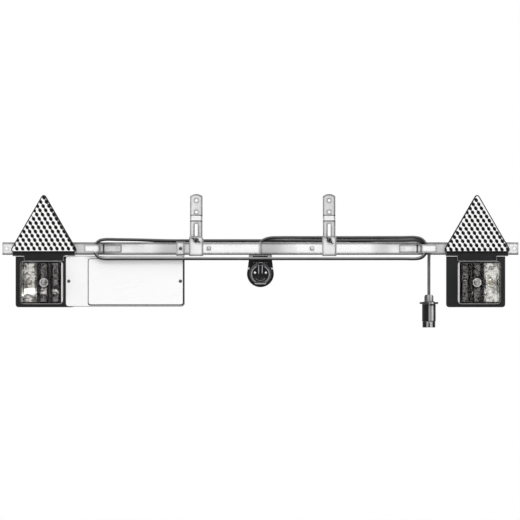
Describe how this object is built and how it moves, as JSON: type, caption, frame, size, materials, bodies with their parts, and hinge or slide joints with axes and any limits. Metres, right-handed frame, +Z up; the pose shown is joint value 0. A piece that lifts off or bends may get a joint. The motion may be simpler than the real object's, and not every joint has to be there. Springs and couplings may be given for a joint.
{
  "type": "trailer light set",
  "caption": "Clamp-on trailer light bar with rear lamps, triangular reflectors, blank number-plate panel, lidded socket and a wound lead with plug.",
  "frame": {"origin": "centre of the four bracket holes, on the back face of the two bracket strips", "axes": "+Z up, +X along the bar to the right as seen from the lamps' side, -Y towards that viewer"},
  "size_m": [1.24, 0.0743, 0.321],
  "materials": {
    "galvanised_steel": "galvanised, satin",
    "zinc_fasteners": "zinc plated",
    "black_plastic": "fine moulded grain",
    "dark_rubber": "matt",
    "red_lens": "clear red, glossy",
    "amber_lens": "clear amber, glossy",
    "clear_window": "clear",
    "bulb_glass": "clear",
    "bright_reflector": "metallised",
    "reflector_cells": "white prismatic cells with dark dots under a clear face",
    "white_panel": "smooth, slightly glossy",
    "brass_contacts": "bright",
    "lead_sheath": "satin black"
  },
  "bodies": {
    "brackets": {"upright_left": "galvanised_steel", "upright_right": "galvanised_steel"},
    "light_bar": {"bar_left": "galvanised_steel", "bar_right": "galvanised_steel", "bar_joiner": "galvanised_steel", "joiner_rivets": "zinc_fasteners", "clamp_plate_left": "galvanised_steel", "clamp_plate_right": "galvanised_steel", "clamp_bolts": "zinc_fasteners", "clamp_washers": "zinc_fasteners", "lead_hook_left": "galvanised_steel", "lead_hook_right": "galvanised_steel", "hook_rivets": "zinc_fasteners", "lamp_bracket_left": "galvanised_steel", "lamp_bracket_right": "galvanised_steel", "bracket_bolts": "zinc_fasteners", "lamp_bolts": "zinc_fasteners", "lamp_housing_left": "black_plastic", "lamp_housing_right": "black_plastic", "lamp_reflector_left": "bright_reflector", "lamp_reflector_right": "bright_reflector", "lamp_bulbs_left": "bulb_glass", "lamp_bulbs_right": "bulb_glass", "lens_gasket_left": "dark_rubber", "lens_gasket_right": "dark_rubber", "lens_red_left": "red_lens", "lens_red_right": "red_lens", "lens_amber_left": "amber_lens", "lens_amber_right": "amber_lens", "plate_window_left": "clear_window", "lens_screws": "zinc_fasteners", "triangle_carrier_left": "black_plastic", "triangle_carrier_right": "black_plastic", "triangle_reflector_left": "reflector_cells", "triangle_reflector_right": "reflector_cells", "carrier_screws": "zinc_fasteners", "plate_panel": "white_panel", "panel_hanger": "galvanised_steel", "plate_screws": "zinc_fasteners", "socket_bracket": "galvanised_steel", "socket_housing": "black_plastic", "socket_insert": "black_plastic", "socket_contacts": "brass_contacts", "socket_gasket": "dark_rubber", "socket_hinge_pin": "zinc_fasteners", "socket_spring": "zinc_fasteners", "socket_screws": "zinc_fasteners", "junction_box": "black_plastic", "lead_grommet": "dark_rubber", "harness_left": "lead_sheath", "harness_right": "lead_sheath", "lead": "lead_sheath", "plug_gland": "black_plastic", "plug_body": "black_plastic", "plug_sleeve": "black_plastic", "plug_pins": "brass_contacts"},
    "left_nut": {"wing_nut_left": "zinc_fasteners"},
    "right_nut": {"wing_nut_right": "zinc_fasteners"},
    "lid": {"socket_lid": "black_plastic"}
  },
  "joints": [
    {"name": "height_adjust", "type": "slide", "parent": "brackets", "child": "light_bar", "axis": [0, 0, 1], "range_m": [-0.012, 0.033]},
    {"name": "left_nut_turn", "type": "hinge", "parent": "light_bar", "child": "left_nut", "pos_m": [-0.16, -0.037, -0.082], "axis": [0, -1, 0], "continuous": true},
    {"name": "right_nut_turn", "type": "hinge", "parent": "light_bar", "child": "right_nut", "pos_m": [0.16, -0.037, -0.082], "axis": [0, -1, 0], "continuous": true},
    {"name": "socket_lid_hinge", "type": "hinge", "parent": "light_bar", "child": "lid", "pos_m": [-0.0055, -0.0477, -0.1355], "axis": [-1, 0, 0], "range_deg": [0, 90], "stiffness_Nm_per_rad": 0.02, "springref_deg": -20.05}
  ]
}
